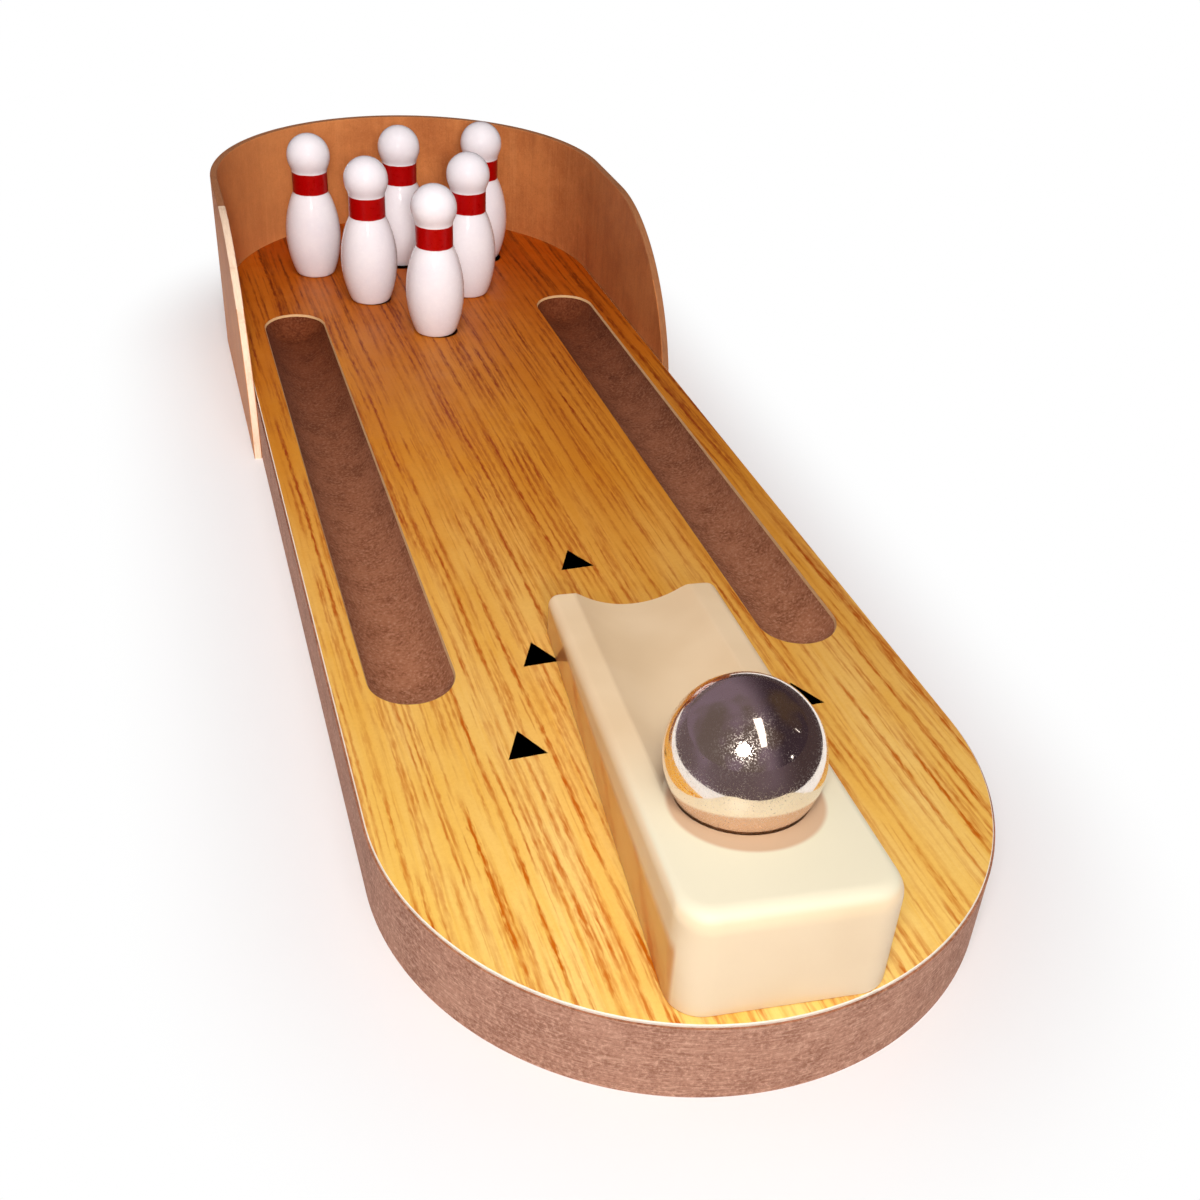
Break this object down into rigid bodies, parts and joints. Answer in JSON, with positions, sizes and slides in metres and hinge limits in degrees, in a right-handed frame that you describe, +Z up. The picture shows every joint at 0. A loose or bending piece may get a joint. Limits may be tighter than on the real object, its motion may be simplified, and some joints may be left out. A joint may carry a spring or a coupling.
{
  "type": "table bowling game",
  "caption": "Tabletop bowling lane with round ends, side gutters, a bent wood backstop, standing pins and a swivelling ball ramp with a steel ball.",
  "frame": {"origin": "on the table, in the middle of the whole outline", "axes": "+X to the right seen from the ramp, +Y along the lane from the ramp to the pins, +Z up"},
  "size_m": [0.0932, 0.2796, 0.0472],
  "materials": {
    "fibreboard": "raw routed fibreboard, flat",
    "printed_sheet": "printed straw-coloured wood grain under a satin film",
    "black_ink": "black print, satin",
    "strip_wood": "bent thin wood, satin",
    "ivory_plastic": "glossy moulding",
    "zinc_steel": "zinc-plated, satin",
    "ball_steel": "polished mirror",
    "pin_plastic": "glossy white with a red band round the neck"
  },
  "bodies": {
    "board": {"base_board": "fibreboard", "lane_sheet": "printed_sheet", "lane_marks": "black_ink", "backstop": "strip_wood", "pivot_washer": "zinc_steel"},
    "ramp": {"ramp": "ivory_plastic", "pivot_screw": "zinc_steel"},
    "ball": {"ball": "ball_steel"},
    "pin_1": {"pin_1": "pin_plastic"},
    "pin_2": {"pin_2": "pin_plastic"},
    "pin_3": {"pin_3": "pin_plastic"},
    "pin_4": {"pin_4": "pin_plastic"},
    "pin_5": {"pin_5": "pin_plastic"},
    "pin_6": {"pin_6": "pin_plastic"}
  },
  "joints": [
    {"name": "ramp_swivel", "type": "hinge", "parent": "board", "child": "ramp", "pos_m": [0, -0.1153, 0.0132], "axis": [0, 0, 1], "range_deg": [-9.8, 20.2]},
    {"name": "ball_lift", "type": "slide", "parent": "ramp", "child": "ball", "axis": [0, 0, 1], "range_m": [0, 0.06]},
    {"name": "pin_1_lift", "type": "slide", "parent": "board", "child": "pin_1", "axis": [0, 0, 1], "range_m": [0, 0.06]},
    {"name": "pin_2_lift", "type": "slide", "parent": "board", "child": "pin_2", "axis": [0, 0, 1], "range_m": [0, 0.06]},
    {"name": "pin_3_lift", "type": "slide", "parent": "board", "child": "pin_3", "axis": [0, 0, 1], "range_m": [0, 0.06]},
    {"name": "pin_4_lift", "type": "slide", "parent": "board", "child": "pin_4", "axis": [0, 0, 1], "range_m": [0, 0.06]},
    {"name": "pin_5_lift", "type": "slide", "parent": "board", "child": "pin_5", "axis": [0, 0, 1], "range_m": [0, 0.06]},
    {"name": "pin_6_lift", "type": "slide", "parent": "board", "child": "pin_6", "axis": [0, 0, 1], "range_m": [0, 0.06]}
  ]
}
